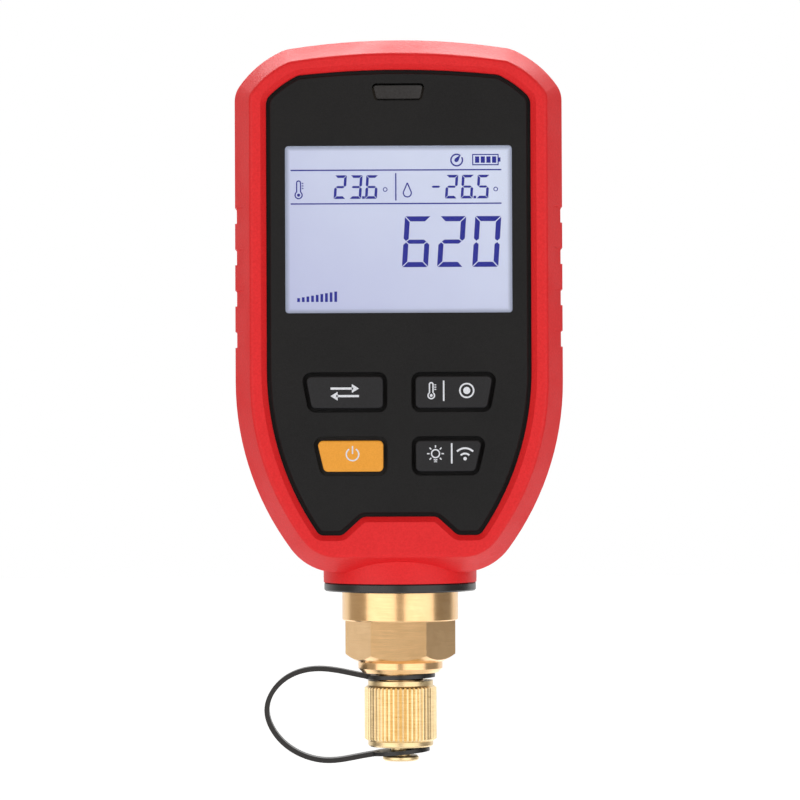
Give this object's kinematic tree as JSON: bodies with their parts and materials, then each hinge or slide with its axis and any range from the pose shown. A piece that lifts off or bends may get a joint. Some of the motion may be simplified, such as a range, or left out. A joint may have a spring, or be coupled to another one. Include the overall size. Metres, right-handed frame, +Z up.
{
  "type": "wireless vacuum gauge",
  "caption": "Hand-held wireless vacuum gauge with a backlit display, spring-back keys and a brass male flare port closed by a knurled cap on a tether strap.",
  "frame": {"origin": "centre of the flare nose, the lower end of the male port, on the port's axis", "axes": "+Z up along the port's axis towards the case's crown, +X right as the user reads the display, the front faces -Y"},
  "size_m": [0.0744, 0.04, 0.1652],
  "materials": {
    "cover_red": "soft matte",
    "shell_black": "fine texture",
    "window_clear": "polished",
    "lens_smoked": "polished",
    "display_glass": "satin",
    "light_plate": "satin",
    "tray_white": "matte",
    "connector_rubber": "matte",
    "board_green": "solder mask",
    "key_black": "fine texture",
    "key_orange": "fine texture",
    "switch_black": "matte",
    "plunger_white": "matte",
    "lamp_clear": "polished",
    "can_metal": "bright tin",
    "screw_steel": "zinc black",
    "contact_steel": "nickel",
    "cell_jacket": "plain sleeve",
    "brass": "turned",
    "gasket_black": "smooth",
    "seal_white": "smooth",
    "strap_black": "smooth",
    "clamp_plastic": "matte",
    "flex_amber": "film"
  },
  "bodies": {
    "housing": {"battery_contacts": "contact_steel", "battery_door": "shell_black", "battery_door_screw": "screw_steel", "battery_springs": "contact_steel", "board_screws": "screw_steel", "buzzer": "switch_black", "case_screws": "screw_steel", "cells": "cell_jacket", "collar_gasket": "gasket_black", "display_window": "window_clear", "flare_fitting": "brass", "flex_connectors": "clamp_plastic", "front_bumper": "cover_red", "front_shell": "shell_black", "key_switches": "switch_black", "lcd_backlight": "light_plate", "lcd_connector": "connector_rubber", "lcd_glass": "display_glass", "lcd_tray": "tray_white", "lock_nut": "brass", "main_board": "board_green", "radio_module": "can_metal", "rear_bumper": "cover_red", "rear_shell": "shell_black", "sensor_board": "board_green", "sensor_clamp": "clamp_plastic", "sensor_element": "can_metal", "sensor_flex": "flex_amber", "sensor_seal": "gasket_black", "sensor_spacer": "clamp_plastic", "status_lamp": "lamp_clear", "status_lens": "lens_smoked"},
    "unit_key": {"key_unit": "key_black", "plunger_unit": "plunger_white"},
    "record_key": {"key_record": "key_black", "plunger_record": "plunger_white"},
    "power_key": {"key_power": "key_orange", "plunger_power": "plunger_white"},
    "backlight_key": {"key_backlight": "key_black", "plunger_backlight": "plunger_white"},
    "seal": {"cap_seal": "seal_white"},
    "cap": {"flare_cap": "brass"},
    "strap": {"cap_strap": "strap_black"}
  },
  "joints": [
    {"name": "unit_press", "type": "slide", "parent": "housing", "child": "unit_key", "axis": [0, 1, 0], "range_m": [0, 0.0008], "stiffness_N_per_m": 2500},
    {"name": "record_press", "type": "slide", "parent": "housing", "child": "record_key", "axis": [0, 1, 0], "range_m": [0, 0.0008], "stiffness_N_per_m": 2500},
    {"name": "power_press", "type": "slide", "parent": "housing", "child": "power_key", "axis": [0, 1, 0], "range_m": [0, 0.0008], "stiffness_N_per_m": 2500},
    {"name": "backlight_press", "type": "slide", "parent": "housing", "child": "backlight_key", "axis": [0, 1, 0], "range_m": [0, 0.0008], "stiffness_N_per_m": 2500},
    {"name": "cap_travel", "type": "slide", "parent": "housing", "child": "seal", "axis": [0, 0, -1], "range_m": [0, 0.0096]},
    {"name": "cap_turn", "type": "hinge", "parent": "seal", "child": "cap", "pos_m": [0, 0, 0], "axis": [0, 0, -1], "range_deg": [0, 2700]},
    {"name": "strap_swivel", "type": "hinge", "parent": "seal", "child": "strap", "pos_m": [0, 0, 0], "axis": [0, 0, 1], "continuous": true}
  ],
  "couplings": [
    {"joint": "cap_travel", "follows": "cap_turn", "m_per_rad": 0.00020213}
  ]
}
